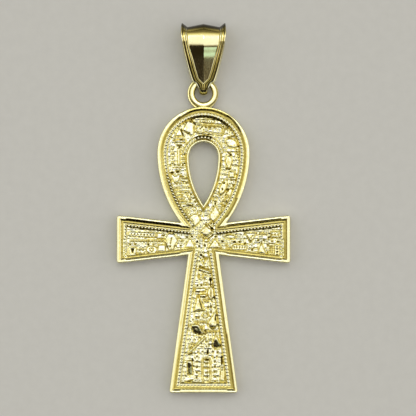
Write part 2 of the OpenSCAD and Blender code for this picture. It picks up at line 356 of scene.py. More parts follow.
def notches(side_in=0, arm_in=0):
    """Right corners above and below the arm, with the edges moved in: the loop's arc and the arm's top edge,
    and the arm's lower edge and the shaft's, solved for x."""
    arm_half = ARM_MID_H / 2 - arm_in * np.hypot(1, ARM_SLOPE)
    shaft_half = SHAFT_MID_W / 2 - side_in * np.hypot(1, SHAFT_SLOPE)
    middle = LOOP_R - LOOP_SIDE_R
    fall = arm_half - LOOP_UP
    a = 1 + ARM_SLOPE**2
    b = ARM_SLOPE * fall - middle
    x = (-b + np.sqrt(b**2 - a * (middle**2 + fall**2 - (LOOP_SIDE_R - side_in) ** 2))) / a
    low_x = (shaft_half + SHAFT_SLOPE * arm_half) / (1 - SHAFT_SLOPE * ARM_SLOPE)
    return np.array([x, arm_half + ARM_SLOPE * x]), np.array([low_x, -arm_half - ARM_SLOPE * low_x])


UPPER_NOTCH, LOWER_NOTCH = notches()
print("notches, mm:", UPPER_NOTCH.round(2), LOWER_NOTCH.round(2))


def edge_depth(x, y):
    """Distance inwards from the outline: the largest of the three forms'. At the crossing, where the border
    breaks off, it is the distance from the nearest corner."""
    side = np.abs(x)
    loop = drop_depth(x, y, LOOP_UP, LOOP_R, LOOP_SIDE_R)
    arm_edge = (ARM_MID_H / 2 + ARM_SLOPE * side - np.abs(y)) / np.hypot(1, ARM_SLOPE)
    arms = np.minimum(arm_edge, ARM_REACH - side)
    shaft_edge = (SHAFT_MID_W / 2 - SHAFT_SLOPE * np.minimum(y, 0) - side) / np.hypot(1, SHAFT_SLOPE)
    shaft = np.where(y < ARM_MID_H / 2, np.minimum(shaft_edge, y + SHAFT_REACH), -1)
    depth = np.maximum(loop, np.maximum(arms, shaft))
    crossing = step(1.7, 1.25, side) * step(-0.3, 0.1, y) * step(2.1, 1.7, y)
    corner = np.hypot(side - UPPER_NOTCH[0], y - UPPER_NOTCH[1])
    return depth + np.maximum(corner - depth, 0) * crossing


def hole_depth(x, y):
    """Distance outwards from the loop's opening."""
    return -drop_depth(x, y, HOLE_UP, HOLE_R, HOLE_SIDE_R)


def slopes(distance, x, y, near=0.02):
    """Slopes of a distance along X and Y, from points close by: the way that a wall along it faces."""
    slope_x = distance(x + near, y) - distance(x - near, y)
    slope_y = distance(x, y + near) - distance(x, y - near)
    return slope_x / (2 * near), slope_y / (2 * near)


# %% [markdown]
# ## The front as six sheets
# On one square grid every edge would be a staircase. So the loop, the arms, the shaft and both halves of the
# crossing are grids whose rows run along the outline, closer near the border, and share their common lines.

# %% Grids in the plane
LOOP_SIDE_N, LOOP_TOP_N = 112, 112
BAND_N, ARM_ROWS_N, ARM_COLS_N, SHAFT_ROWS_N = 66, 84, 104, 200


def shares(steps, *places):
    """A column of shares from 0 to 1 in so many steps, with set shares at the given steps."""
    return np.interp(np.arange(steps + 1), *zip((0, 0), *places, (steps, 1)))[:, None]


def between(a, b, t):
    """Points from a to b at shares t. A column of shares between two lines gives a grid."""
    return mix(a, b, t[..., None])


def drop_place(up, r, side, angle):
    """Points on the right half of a drop outline: on its round top at angles above 0, else on its side."""
    bend = np.where(angle > 0, r, side)
    return np.stack([bend * np.cos(angle) - (bend - r), up + bend * np.sin(angle)], -1)


def drop_line(up, r, side, low):
    """Points up the right side of a drop outline, over its top and down the left: even angles on each arc."""
    angle = np.append(np.linspace(-low, 0, LOOP_SIDE_N + 1)[:-1], np.linspace(0, np.pi / 2, LOOP_TOP_N + 1))
    right = drop_place(up, r, side, angle)
    return np.concatenate([right, right[-2::-1] * [-1, 1]])


loop_edge = drop_line(LOOP_UP, LOOP_R, LOOP_SIDE_R, np.arcsin((LOOP_UP - UPPER_NOTCH[1]) / LOOP_SIDE_R))
hole_edge = drop_line(HOLE_UP, HOLE_R, HOLE_SIDE_R, np.arccos((HOLE_SIDE_R - HOLE_R) / HOLE_SIDE_R))
loop_grid = between(loop_edge, hole_edge, shares(BAND_N, (25, 0.34), (53, 0.82))).swapaxes(0, 1)

arm_end = np.array([ARM_REACH, ARM_END_H / 2])
arm_root = between(UPPER_NOTCH, LOWER_NOTCH, shares(ARM_ROWS_N, (22, 0.31), (70, 0.8))[:, 0])
arm_far = between(arm_end, arm_end * [1, -1], shares(ARM_ROWS_N, (22, 0.22), (70, 0.87))[:, 0])
arm_grid = between(arm_root, arm_far, shares(ARM_COLS_N, (82, 0.855)))

foot = np.array([SHAFT_FOOT_W / 2, -SHAFT_REACH])
shaft_head = between(LOWER_NOTCH * [-1, 1], LOWER_NOTCH, shares(2 * BAND_N, (26, 0.31), (106, 0.69))[:, 0])
shaft_foot = between(foot * [-1, 1], foot, shares(2 * BAND_N, (26, 0.143), (106, 0.857))[:, 0])
shaft_grid = between(shaft_head, shaft_foot, shares(SHAFT_ROWS_N, (178, 0.93)))


def four_sided(top, bottom, left, right):
    """Grid between four lines: the two ruled grids added, less the grid ruled between the corners."""
    u = np.linspace(0, 1, len(top))
    v = np.linspace(0, 1, len(left))[:, None]
    corners = between(between(top[0], top[-1], u), between(bottom[0], bottom[-1], u), v)
    return between(top, bottom, v) + between(left, right, u[:, None]).swapaxes(0, 1) - corners


core_middle = between(hole_edge[0] * [0, 1], LOWER_NOTCH * [0, 1], np.linspace(0, 1, ARM_ROWS_N + 1))
core_grid = four_sided(loop_grid[0, ::-1], shaft_head[BAND_N:], core_middle, arm_root)
FRONT = [loop_grid, arm_grid, arm_grid * [-1, 1], shaft_grid, core_grid, core_grid * [-1, 1]]
print("front sheets:", [grid.shape[:2] for grid in FRONT])

# %% [markdown]
# ## The border
# The border is a line of heights over the distance in. Each stop has a tone too, which is painted light:
# from -1.6, painted shade in the deepest places, to 1, a painted highlight on high ones. The beads sit on
# its shelf.

# %% Border lines: distance in, height and tone, in hundredths
# In both lines the tone column is painted light: painted shade on the walls and in the channel below the rim,
# paler on the rim's top and the shelf.
RIM_LINE = graph("""0 186 0, 3 194 20, 10 199 30, 17 200 30, 21 198 -10, 25 200 30, 36 200 30, 40 198 0,
    44 193 -80, 52 180 -80, 57 176 -78, 76 176 -78, 80 173 -80, 84 171 -65, 92 170 -20, 112 170 -10,
    117 166 -40, 132 142 -40, 150 138 0""")
HOLE_LINE = graph("""0 186 0, 3 194 20, 8 200 30, 20 200 30, 24 197 0, 34 178 -80, 40 170 -40,
    70 168 -20, 74 164 -50, 86 142 -30, 100 138 0""")


def along(t, line):
    """Each column after the first of a line of stops, such as height and tone, at the places t."""
    at, *columns = line.T
    return [np.interp(t, at, column) for column in columns]


def evenly(p, q, keep_end=False):
    """Places a bead pitch apart from p towards q, without q itself unless keep_end."""
    n = max(1, round(np.hypot(*(q - p)) / BEAD_PITCH))
    return between(p, q, np.arange(n + keep_end) / n)


def beads_down(up, r, side, low):
    """Places half a bead pitch past a drop outline's top and on down its right side to angle low."""
    top_length = r * np.pi / 2
    length = top_length + side * low
    n = max(2, round(length / BEAD_PITCH - 0.5))
    past_top = length * (np.arange(n) + 0.5) / (n + 0.5) - top_length
    return drop_place(up, r, side, -past_top / np.where(past_top < 0, r, side))


def bead_places():
    """All beads: down the loop, along the arm and its end, down the shaft, along the foot, round the hole."""
    upper = notches(BEAD_IN, ARM_BEAD_IN)[0]
    inner = notches(BEAD_IN, ARM_LOW_IN)[1]
    end = arm_end - [ARM_BEAD_IN, ARM_BEAD_IN + ARM_SLOPE * ARM_BEAD_IN]
    low_end = np.array([end[0], ARM_LOW_IN - end[1] - ARM_BEAD_IN])
    corner = foot + [-BEAD_IN * (1 + SHAFT_SLOPE), BEAD_IN]
    low = np.arcsin((LOOP_UP - upper[1]) / (LOOP_SIDE_R - BEAD_IN))
    hole_low = np.arccos((HOLE_SIDE_R - HOLE_R) / (HOLE_SIDE_R + HOLE_BEAD_IN))
    right = np.concatenate([
        beads_down(LOOP_UP, LOOP_R - BEAD_IN, LOOP_SIDE_R - BEAD_IN, low), evenly(upper, end),
        evenly(end, low_end, True), evenly(inner, corner), evenly(corner, corner * [0.05, 1], True),
        beads_down(HOLE_UP, HOLE_R + HOLE_BEAD_IN, HOLE_SIDE_R + HOLE_BEAD_IN, hole_low)])
    x, y = right.T
    hole_side = (y < HOLE_UP + 0.4) & (hole_depth(x, y) < BEAD_IN) & (hole_depth(x, y) > 0)
    clear_of_crossing = (x > 1.5) | (y > 1.7) | (y < -1.8)
    right = right[~hole_side & clear_of_crossing]
    return np.concatenate([right, right * [-1, 1]])


def nearest(x, y, places):
    """Distance to the nearest of the places, worked out some places at a time."""
    found = np.full(x.shape, 9.0)
    for part in np.array_split(places, len(places) // 32 + 1):
        away = np.hypot(x[:, None] - part[None, :, 0], y[:, None] - part[None, :, 1])
        found = np.minimum(found, away.min(1))
    return found


def dome(t):
    """Round height share from a rim at 0 to a top at 1: the root of 1 - (1 - t) squared."""
    t = np.clip(t, 0, 1)
    return np.sqrt(1 - (1 - t) ** 2)


BEADS = bead_places()
print(len(BEADS), "beads on the border")

# %% [markdown]
# ## Outlines of the signs
# A sign's outline is a distance too, negative inside. The same number gives the domed top inside it and the
# groove around it.

# %% One distance for each kind of sign
def box_distance(p, q, a, b, r):
    """Rounded box: distance to the box that is smaller by r all round, less r."""
    u = np.abs(p) - a + r
    v = np.abs(q) - b + r
    return np.hypot(np.maximum(u, 0), np.maximum(v, 0)) + np.minimum(np.maximum(u, v), 0) - r


def sign_distance(kind, p, q, a, b):
    """Distance to the outline of a sign with half width a and half height b: to a box, an ellipse, sloping
    lines, two arcs, or, for a drop, a circle and the two lines from its tip that touch it."""
    if kind == "bar":
        return box_distance(p, q, a, b, 0.8 * min(a, b))
    if kind == "block":
        return box_distance(p, q, a, b, 0.12)
    if kind == "dot":
        return (np.hypot(p / a, q / b) - 1) * min(a, b)
    if kind == "peak":
        run = 0.94 * a
        side = ((np.abs(p) - a) * 2 * b + (q + b) * run) / np.hypot(2 * b, run)
        return np.maximum(side, np.abs(q) - b)
    if kind == "gem":
        return (np.abs(p) * b + np.abs(q) * a - a * b) / np.hypot(a, b)
    if kind == "leaf":
        bow = (a * a + b * b) / (2 * a)
        return np.hypot(np.abs(p) + bow - a, q) - bow
    if kind == "drop":
        lean = np.arcsin(a / (2 * b - a))
        side = np.abs(p) * np.cos(lean) + (q - b) * np.sin(lean)
        return np.where(q > a - b + a * np.sin(lean), side, np.hypot(p, q + b - a) - a)
    if kind == "vase":
        half = a * (0.72 + 0.28 * np.cos(3 * (q / b - 0.15)))
        return np.maximum(np.abs(p) - half, np.abs(q) - b)
    if kind == "cup":
        half = a * np.sqrt(np.clip((q / b + 1) / 2, 0, 1))
        notch = 0.3 * b - np.hypot(p, q - b)
        return np.maximum(np.maximum(np.abs(p) - half, np.abs(q) - b), notch)
    if kind == "eye":
        return np.maximum(box_distance(p, q, a, b, 0.9 * b), 0.26 * b - np.hypot(p, q))
    if kind == "ring":
        return np.abs(np.hypot(p, q * a / b) - 0.72 * a) - 0.24 * a
    if kind == "arch":
        frame_w = 0.22 * a
        return np.abs(box_distance(p, q, a - frame_w, b - frame_w, 0.85 * (a - frame_w))) - frame_w
    if kind == "zig":
        wave = b * 0.6 * (np.abs((p / a * 2) % 2 - 1) * 2 - 1)
        return np.maximum(np.abs(q - wave) * 0.7 - 0.35 * b, np.abs(p) - a)


# %% [markdown]
# ## Filling between the signs
# The ground between the signs is crowded with tiny beads, rings and dashes. Each cell of a grid holds one,
# moved by numbers from a fixed seed, and every point looks only at the nine cells around it.

# %% Filling as a height over the field
CELL, CELL_N, CELL_SOFT = 0.56, 160, 0.16
draw = np.random.default_rng(41)
cell_move = draw.uniform(-0.1, 0.1, (CELL_N, CELL_N, 2))
cell_kind = draw.choice(4, (CELL_N, CELL_N), p=[0.52, 0.26, 0.12, 0.1])
cell_rise = draw.uniform(0.08, 0.17, (CELL_N, CELL_N))
SKIN_PITCH, SKIN_DEEP, SKIN_N = 0.3, 0.03, 256
skin_draw = np.random.default_rng(7).uniform(-1, 1, (SKIN_N, SKIN_N))


def filling(x, y):
    """Height and tone of the small forms: buttons, pairs of dashes laid across or along, and rings. The tone
    falls from a painted highlight, pale on a form, to painted shade, dark where four of them leave a gap."""
    col = np.floor(x / CELL).astype(int)
    row = np.floor(y / CELL).astype(int)
    high = np.zeros_like(x)
    nearby = np.full(x.shape, 9.0)
    for i, j in np.ndindex(3, 3):
        ci, cj = col + i - 1, row + j - 1
        at = (ci % CELL_N, cj % CELL_N)
        p = x / CELL - ci - 0.5 - cell_move[at][:, 0]
        q = y / CELL - cj - 0.5 - cell_move[at][:, 1]
        forms = [box_distance(p, q, 0.45, 0.45, 0.32), box_distance(p, np.abs(q) - 0.24, 0.44, 0.18, 0.16),
                 box_distance(np.abs(p) - 0.24, q, 0.18, 0.44, 0.16), np.abs(np.hypot(p, q) - 0.3) - 0.16]
        distance = np.choose(cell_kind[at], forms)
        high = np.maximum(high, cell_rise[at] * dome(-distance / CELL_SOFT))
        nearby = np.minimum(nearby, distance)
    return high, np.interp(nearby, [-0.12, -0.03, 0.05, 0.12, 0.2], [0.8, 0.6, 0.1, -0.3, -1.3])


def bumps(x, y):
    """Cast skin: random numbers on a grid, with a smooth step from each to the next."""
    col = np.floor(x / SKIN_PITCH).astype(int)
    row = np.floor(y / SKIN_PITCH).astype(int)
    u = step(0, 1, x / SKIN_PITCH - col)
    v = step(0, 1, y / SKIN_PITCH - row)
    left, right = col % SKIN_N, (col + 1) % SKIN_N
    rows = [mix(skin_draw[left, k % SKIN_N], skin_draw[right, k % SKIN_N], u) for k in (row, row + 1)]
    return mix(*rows, v)


# %% [markdown]
# ## All layers together
# The signs are laid on one after the other. Inside its outline a sign replaces what lies below it, and just
# outside it presses a shallow groove. The border's tones are painted shade and painted highlights that
# follow the way that each edge faces the light.

# %% The field and its signs
GROOVE_W, GROOVE_DEEP, SWELL, CHAMFER_W = 0.12, 0.08, 0.08, 0.14
# Tones of painted light: HOLLOW_TONE fills hollow signs with painted shade, DEEPEST is the darkest painted
# shade, and SIGN_TONES go from a dark painted edge to a pale top with a painted highlight.
HOLLOW_TONE, DEEPEST, HIGHEST = -1.4, -1.6, 1.0
SIGN_TONES = graph("""0 -50, 10 -30, 19 40, 27 30, 34 -20, 40 20""")
BORDER_IN, BEAD_HALO, LOOP_FROM = 1.3, 0.22, 5


def lay_sign(z, tone, x, y, kind, cx, cy, w, h, rise=-28, turn=0, lean=0):
    """Lays one sign on the field's heights and tones."""
    cx, cy, w, h, rise, lean = [HUNDREDTH * number for number in (cx, cy, w, h, rise, lean)]
    w, h = (w + SWELL, h + SWELL) if rise > 0 else (w, h)
    reach = 0.75 * (w + h)
    near = np.flatnonzero((np.abs(x - cx) < reach) & (np.abs(y - cy) < reach))
    dx = x[near] - cx
    dy = y[near] - cy
    cos, sin = np.cos(np.radians(turn)), np.sin(np.radians(turn))
    distance = sign_distance(kind, dx * cos + dy * sin, dy * cos - dx * sin, w / 2, h / 2)
    # A hollow sign is filled with painted shade: its tone goes to HOLLOW_TONE, nearly black.
    if rise < 0:
        held = step(0.05, -0.08, distance)
        z[near] += rise * held
        tone[near] = mix(tone[near], HOLLOW_TONE, held)
        return
    soft = min(0.6, 0.7 * min(w, h))
    chamfer = np.clip(-distance / CHAMFER_W, 0, 1)
    top = FIELD_T - 0.05 + rise * (0.5 * chamfer + 0.4 * dome(-distance / soft)) + lean * dy
    groove = GROOVE_DEEP * (1 - step(0, GROOVE_W, distance))
    held = step(0.035, -0.035, distance)
    calm = step(-0.02, 0.14, distance)
    ground = FIELD_T - 0.04 + (z[near] - FIELD_T + 0.04) * calm - groove
    z[near] = mix(ground, top, held)
    # Painted shade in the groove around a raised sign; inside, a dark painted edge and a pale, mottled top.
    around = -0.35 + (tone[near] + 0.35) * step(0, 0.1, distance)
    inside = np.interp(-distance, *SIGN_TONES.T) + 0.6 * bumps(2 * x[near], 2 * y[near])
    tone[near] = mix(around, inside, held)


def field_relief(x, y):
    """Height and tone of the sunk field: the filling on a waved ground, the signs, and painted light, most on
    the left.
    """
    small, tone = filling(x, y)
    wave = 0.02 * np.sin(2.1 * x + 0.8 * np.sin(1.7 * y)) * np.sin(1.9 * y + 0.4)
    z = FIELD_T - 0.08 + wave + small
    tone = tone + 0.3 * bumps(1.7 * x, 1.7 * y + 9)
    for sign in ALL_SIGNS:
        lay_sign(z, tone, x, y, *sign)
    # Painted light: the field's middle and pale tones are lifted, more on the left half above the shaft.
    painted_light_lift = 0.1 + 0.2 * step(1, -2, x) * step(-2.4, -1.8, y)
    return z, tone + painted_light_lift * step(-1.3, -0.6, tone)

# %% Height of the front at any place
def front(x, y):
    """Height and tone of the front: the field, the border over the distance from the edges, and the beads.
    The tones are painted light. Edges that face down have painted shadows: dark, scalloped feet and dark
    gaps between beads. Left ones are paler with painted light, and bead tops have a painted highlight."""
    edge = edge_depth(x, y)
    hole = hole_depth(x, y)
    slope_x, slope_y = slopes(edge_depth, x, y)
    # Masks for painted light and shade, from the way that each edge faces: down and to the left is the shaded
    # side.
    faces_low_left = -0.47 * slope_x - 0.88 * slope_y
    faces_down = -0.2 * slope_x - 0.98 * slope_y
    on_loop = y > LOOP_FROM
    left = step(0.3, 0.8, slope_x)
    top = on_loop * step(0.76, 0.93, faces_down)
    lit = np.maximum(left, on_loop * step(0.8, 0.5, faces_down))
    low_edge = step(0.78, 0.96, faces_down)
    hole_top = step(0.86, 0.95, slopes(hole_depth, x, y)[1]) * (y > HOLE_UP)
    scallop = 0.55 + 0.45 * step(-1, -0.2, np.sin(2 * np.pi * x / BEAD_PITCH))

    long_side = step(-0.15, 0.15, np.abs(x) - UPPER_NOTCH[0]) * step(0.9, 1.3, ARM_REACH - np.abs(x))
    narrowed = long_side * np.interp(edge, [0, 0.24, 0.5, 0.62], [0, 0.14, 0.04, 0])
    warped = edge + narrowed + 0.1 * (top - lit) * band(edge, 0.14, 0.26, 0.6, 0.72)
    outer = edge < hole + 0.45
    border, border_tone = np.where(outer, along(warped, RIM_LINE), along(hole, HOLE_LINE))
    # Painted light and shade in the groove: scalloped painted shade where walls face down on the left, paler
    # where they face down on the right, and a painted highlight where they face up.
    groove = step(0.55, 0.95, faces_low_left) * (1.4 * scallop * step(1.5, -1.5, x) - 0.5)
    groove = groove - 0.8 * step(0.2, 0.8, -faces_low_left)
    border_tone = border_tone - groove * band(warped, 0.38, 0.44, 0.54, 0.6)
    # Painted light in bands along the border: paler on lit and left sides and along down-facing edges of the
    # arms, and painted shade on the rim at the loop's top.
    bands = [(lit, -0.4, 0.2, 0.3, 0.42, 0.5), (lit, 0.3, 0.42, 0.5, 0.56, 0.62),
             (top * (0.4 + 0.6 * scallop), -0.9, 0.1, 0.2, 0.34, 0.4),
             (left, 0.1, 0.5, 0.56, 0.78, 0.88), (left, 0.6, 0.78, 0.88, 1.3, 1.4),
             (low_edge * (1 - on_loop), 0.3, 0.42, 0.5, 0.85, 0.95)]
    for where, strength, *places in bands:
        border_tone = border_tone + strength * where * band(edge, *places)

    on_arm = (y < 0) & (y > 0.4 - ARM_MID_H / 2 - ARM_SLOPE * np.abs(x))
    starts = BORDER_IN - 0.55 * on_arm * step(-1.6, -1.1, np.abs(x) - LOWER_NOTCH[0])
    hole_starts = 0.45 + 0.37 * step(0.2, 0.8, y - HOLE_UP)
    inside = step(0, 0.06, edge - starts) * step(0, 0.06, hole - hole_starts)
    skin = SKIN_DEEP * bumps(x, y)
    field, field_tone = field_relief(x, y)
    z = mix(border + 0.3 * skin, field + skin, inside)
    tone = mix(border_tone, field_tone, inside)
    # Painted shadow: a dark, scalloped band at the foot of down-facing walls and above the opening.
    dark = low_edge * band(edge, 1.14, 1.18, 1.33, 1.39)
    dark = scallop * np.maximum(dark, hole_top * band(hole, 0.6, 0.68, 0.84, 0.9))
    tone = mix(tone, DEEPEST, dark)

    away = nearest(x, y, BEADS)
    bead = SHELF_T - 0.04 + BEAD_RISE * dome(1 - away / BEAD_R)
    # Painted shade in the gaps between beads on down-facing edges, on the loop's lower left and over the
    # opening; a painted highlight on bead tops, and paler beside beads on the left.
    low_left = 0.8 * (x < 0) * (y > UPPER_NOTCH[1]) * step(9.5, 7, y)
    shaded = np.maximum(step(0.6, 0.95, faces_down) * step(0.94, 1.04, edge), low_left) * (hole > 1)
    gap = np.maximum(shaded, hole_top * (hole < 1)) * step(0.1, 0.14, away)
    bead_tone = np.interp(away, [0, 0.1, BEAD_R, BEAD_HALO], [1, 0.9, 0.3, 0.1])
    beside = np.where(away < BEAD_R, DEEPEST, np.minimum(tone, 0.2 + 0.5 * left))
    tone = np.where(away < BEAD_HALO, np.maximum(bead_tone, beside) - 1.9 * gap, tone)
    return np.where(away < BEAD_R, np.maximum(z, bead), z), tone


# %% [markdown]
# ## From sheets to one closed casting
# The sheets are welded along their common lines, the outline goes down to the back as a wall with rounded
# corners, and the back is flat.

# %% Weld, walls and back
WALL = [(0, 1.5), (0, 0.16), (0.05, 0.05), (0.16, 0)]
WALL_TONE = 0.4


def quads(rows, cols, close_rows=0, close_cols=0):
    """Corner numbers of a grid's squares, joined end to end where close is 1."""
    number = np.arange(rows * cols).reshape(rows, cols)
    number = np.pad(number, ((0, close_rows), (0, close_cols)), "wrap")
    corners = [number[:-1, :-1], number[1:, :-1], number[1:, 1:], number[:-1, 1:]]
    return np.stack(corners, -1).reshape(-1, 4)


def flat_sheet(grid):
    """Points and squares of a grid. The sign of its middle square's area tells which way up they look."""
    points = grid.reshape(-1, 2)
    faces = quads(*grid.shape[:2])
    a, b, c = points[faces[len(faces) // 2][:3]]
    return points, faces if np.linalg.det([b - a, c - a]) > 0 else faces[:, ::-1]


def weld(sheets):
    """Points, faces and each sheet's point numbers. Points that agree to 0.0001 mm become one."""
    points = np.concatenate([own for own, _ in sheets])
    starts = np.cumsum([len(own) for own, _ in sheets])[:-1]
    rounded = np.round(points, 4) + 0.0
    _, first, where = np.unique(rounded, axis=0, return_index=True, return_inverse=True)
    numbers = np.split(where.reshape(-1), starts)
    faces = [number[own] for number, (_, own) in zip(numbers, sheets)]
    return points[first], np.concatenate(faces), numbers


def mitred(line, inset):
    """A closed line with metal on its left, moved inwards: at each corner by the normals of its two edges,
    added and divided by 1 plus their product."""
    ahead = np.roll(line, -1, 0) - line
    ahead /= np.hypot(*ahead.T)[:, None]
    after = np.stack([-ahead[:, 1], ahead[:, 0]], -1)
    before = np.roll(after, 1, 0)
    return line + inset * (after + before) / (1 + (after * before).sum(1))[:, None]


def casting_lines():
    """The outline, anticlockwise from the right notch, and the opening, clockwise."""
    mirror = [-1, 1]
    top, low, side = arm_grid[:, 0], arm_grid[:, -1], shaft_grid[:, -1]
    left = [loop_edge[:-1], top[:-1] * mirror, arm_far[:-1] * mirror, low[:0:-1] * mirror, side[:-1] * mirror]
    right = [shaft_foot[:-1], side[:0:-1], low[:-1], arm_far[:0:-1], top[:0:-1]]
    return np.concatenate(left + right), hole_edge[:-1][::-1]


def flap(line, steps):
    """Back of an arm or the shaft from the line around it: squares between its sides, and one end face."""
    there = line[:steps + 1]
    back = line[-steps - 1:][::-1]
    squares = np.stack([back[:-1], back[1:], there[1:], there[:-1]], -1)
    return [*squares.tolist(), line[steps:len(line) - steps][::-1].tolist()]


def round_corners(far, across, reach, mid, slope):
    """An end's corners drawn in to arcs: with u and v as shares towards its edges, u goes to u times the
    root of 1 - v squared / 2, and v the same way."""
    u = 1 - (reach - far) / CORNER_R
    v = 1 - (mid / 2 + slope * far - np.abs(across)) / CORNER_R
    new_far = reach - CORNER_R * (1 - u * np.sqrt(np.clip(1 - v * v / 2, 0, 1)))
    new_across = mid / 2 + slope * new_far - CORNER_R * (1 - v * np.sqrt(np.clip(1 - u * u / 2, 0, 1)))
    near = (u > 0) & (v > 0)
    return np.where(near, new_far, far), np.where(near, new_across * np.sign(across), across)

# %% The closed casting
def casting_surface():
    """Points, faces, tones and back faces: the sheets lifted to their heights, the walls, and the flat back
    in squares around the loop, along the arms and down the shaft."""
    flat, faces, _ = weld([flat_sheet(grid) for grid in FRONT])
    height, flat_tone = front(*flat.T)
    sheets = [(np.column_stack([flat, height]), faces)]
    lines = casting_lines()
    for line in lines:
        rows = [np.column_stack([line, front(*line.T)[0]])]
        rows += [np.column_stack([mitred(line, inset), np.full(len(line), z)]) for inset, z in WALL]
        sheets.append((np.concatenate(rows), quads(len(rows), len(line), 0, 1)))
    points, faces, (sheet, outer, inner) = weld(sheets)
    tone = np.full(len(points), WALL_TONE)
    tone[sheet] = flat_tone
    x, y, z = points.T
    far, y = round_corners(np.abs(x), y, ARM_REACH, ARM_MID_H, ARM_SLOPE)
    down, x = round_corners(-y, far * np.sign(x), SHAFT_REACH, SHAFT_MID_W, SHAFT_SLOPE)

    outer = np.pad(outer[-len(lines[0]):], (0, 1), "wrap")
    inner = np.pad(inner[-len(lines[1]):][::-1], (0, 1), "wrap")
    start = len(loop_edge) - 1
    back = np.stack([outer[:start], inner[:-1], inner[1:], outer[1:start + 1]], -1).tolist()
    core = [inner[0]]
    arm = (2 * ARM_COLS_N + ARM_ROWS_N, ARM_COLS_N - 1)
    for length, steps in (arm, (2 * SHAFT_ROWS_N + 2 * BAND_N, SHAFT_ROWS_N - 1), arm):
        core.append(outer[start])
        back += flap(outer[start:start + length + 1], steps)
        start += length
    core.append(outer[0])
    return np.column_stack([x, -down, z]), faces, tone, back + [np.array(core)[::-1].tolist()]


*surface, back_faces = casting_surface()
print("casting:", len(surface[0]), "points,", len(surface[1]) + len(back_faces), "faces")

# %% [markdown]
# ## Making a piece
# A piece's points go to metres and to their place, its faces into a mesh, and its tones, painted light and
# shade, into an attribute that the gold reads.

# %% One helper for all pieces
def make_piece(name, points, faces, tone, node, slot, flat_faces=()):
    """A mesh object from points in millimetres around the crossing, and their tones."""
    place = (points + [0, CROSSING_Y, 0]) * MM
    mesh = bpy.data.meshes.new(name)
    mesh.from_pydata(place.tolist(), [], [*faces.tolist(), *flat_faces])
    mesh.polygons.foreach_set("use_smooth", np.arange(len(mesh.polygons)) < len(faces))
    # The tones hold painted shade and painted highlights, which the gold's colour follows.
    mesh.attributes.new("painted_light_tone", "FLOAT", "POINT").data.foreach_set("value", tone.astype(np.float32))
    mesh.validate()
    piece = bpy.data.objects.new(name, mesh)
    bpy.context.scene.collection.objects.link(piece)
    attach(piece, "root")
    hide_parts(node)
    mesh.calc_loop_triangles()
    print(name, "has", len(mesh.loop_triangles), "triangles")
    return piece


casting = make_piece("ankh_casting", *surface, "ankh", "cast_gold", back_faces)

# %% [markdown]
# ## The ring at the top
# The ring is part of the casting: a round wire with a flat front, and a lower ledge where the mould parted,
# which fades towards the right. One line around the wire is turned about the middle of the bore.

# %% Ring: radius with height, and radius with tone, in hundredths
RING_LINE = graph("""107 -35, 107 30, 110 47, 118 56, 132 60, 150 60, 163 56, 171 45, 173 25, 173.5 6,
    177 -3, 182 -2, 186 2, 194 0, 198 -8, 198 -42, 193 -55, 184 -60, 122 -60, 111 -52""")
# The tones are painted light: painted shade in the bore, on the wire's outer side and in the crease at the
# ledge, paler on its flat front.
RING_TONES = graph("""107 -90, 120 -40, 130 20, 155 20, 168 -60, 175 -120, 185 10, 200 -20""")
RING_Z = BAIL_T + 0.1 + RING_T / 2
LEDGE_ANGLE = np.radians(205)


def even_loop(line, count):
    """A closed line at even steps of its length, softened: each point twice averaged with its neighbours."""
    line = np.concatenate([line, line[:1]])
    length = np.append(0, np.cumsum(np.hypot(*np.diff(line, axis=0).T)))
    s = np.linspace(0, length[-1], count, endpoint=False)
    even = np.stack([np.interp(s, length, column) for column in line.T], -1)
    for _ in range(2):
        even = (np.roll(even, 1, 0) + 2 * even + np.roll(even, -1, 0)) / 4
    return even


def ring_surface(turns=160, count=72):
    """The line around the wire turned about the bore: radius times cosine and sine. Past the wire it is
    scaled by the ledge's strength at that angle."""
    across, up = even_loop(RING_LINE, count).T
    angle = np.linspace(0, 2 * np.pi, turns, endpoint=False)[:, None]
    wire_r = RING_BORE_R + RING_W
    ledge = 0.35 + 0.65 * step(-0.6, 0.5, np.cos(angle - LEDGE_ANGLE))
    r = np.where(across > wire_r, wire_r + (across - wire_r) * ledge, across)
    r = r + 0.008 * np.sin(3 * angle + 1) * (across > RING_BORE_R + 0.1)
    z = RING_Z + up + 0.01 * np.sin(2 * angle)
    points = np.stack([r * np.cos(angle), RING_UP + r * np.sin(angle), z], -1)
    tone = np.tile(np.interp(across, *RING_TONES.T), turns)
    return points.reshape(-1, 3), quads(turns, count, 1, 1)[:, ::-1], tone


top_ring = make_piece("top_ring", *ring_surface(), "ankh", "cast_gold")

# %% [markdown]
# ## The bail
# A bail is one strip of sheet gold: shaped like a shield in front, folded over at the top, and narrow below,
# where it goes through the ring. A cross-section with a raised, grooved border and a sunk panel is carried
# along the closed line of the fold.

# %% Fold of the bail
TOP_REACH = bail_high[1] - CROSSING_Y
LOW_R = RING_Z
LOW_UP = RING_UP + LOW_R - BAIL_T / 2
BAIL_LEN = TOP_REACH - (LOW_UP - LOW_R)
# share down and of the width, share down and half width of the panel, share in, height and tone
BAIL_ROWS = graph("""0 97, 6 98.5, 16 100, 30 94.5, 42 87, 66 67, 81 51.5, 82.6 38.5, 92 20, 94 18,
    100 17""")
PANEL_ROWS = graph("""0 195, 16 204, 30 190, 42 164, 52 137, 66 102, 78 66, 85.5 0""")
# The tone column paints shade in the border's grooves and a pale highlight on its flats.
BORDER_LINE = graph("""0 -11 -20, 3 -3 30, 8 0 60, 18 0 60, 24 -7 -80, 31 -8 -80, 37 -2 -20, 44 1 0,
    60 1 0, 68 -2 -20, 73 -6 -80, 77 -5 -80, 82 0 50, 93 0 60, 96 -5 -30, 100 -12 -80""")
LEAF_BOW, PLAIN_TONE = -0.08, 0.3


